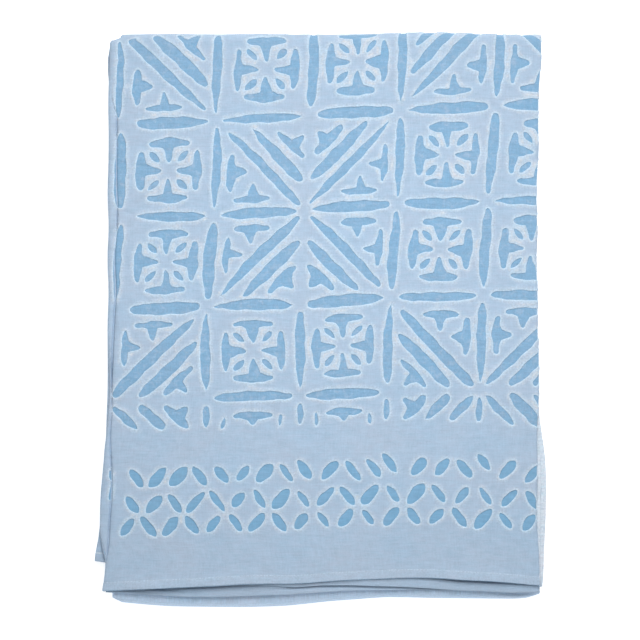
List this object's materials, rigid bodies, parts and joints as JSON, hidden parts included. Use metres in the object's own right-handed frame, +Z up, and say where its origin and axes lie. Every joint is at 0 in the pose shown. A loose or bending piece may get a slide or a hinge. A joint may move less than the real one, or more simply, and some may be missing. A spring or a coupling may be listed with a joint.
{
  "type": "applique bedspread, folded",
  "caption": "Folded cotton bedspread with a pale cutwork applique cloth over a blue ground: flower and star cells, leaf border and plain hem.",
  "frame": {"origin": "under the middle of the folded cloth's bounding box, on the surface that it lies on", "axes": "+X across the folded face, +Y up the face and away from the hems, +Z up out of the cutwork side"},
  "size_m": [0.5784, 0.7348, 0.0236],
  "materials": {
    "ground_cotton": "plain woven cotton, matte",
    "applique_cotton": "fine pale cotton, matte, edges of its windows turned under"
  },
  "bodies": {
    "root": {"ground_cloth": "ground_cotton", "applique_cloth": "applique_cotton"}
  },
  "joints": []
}
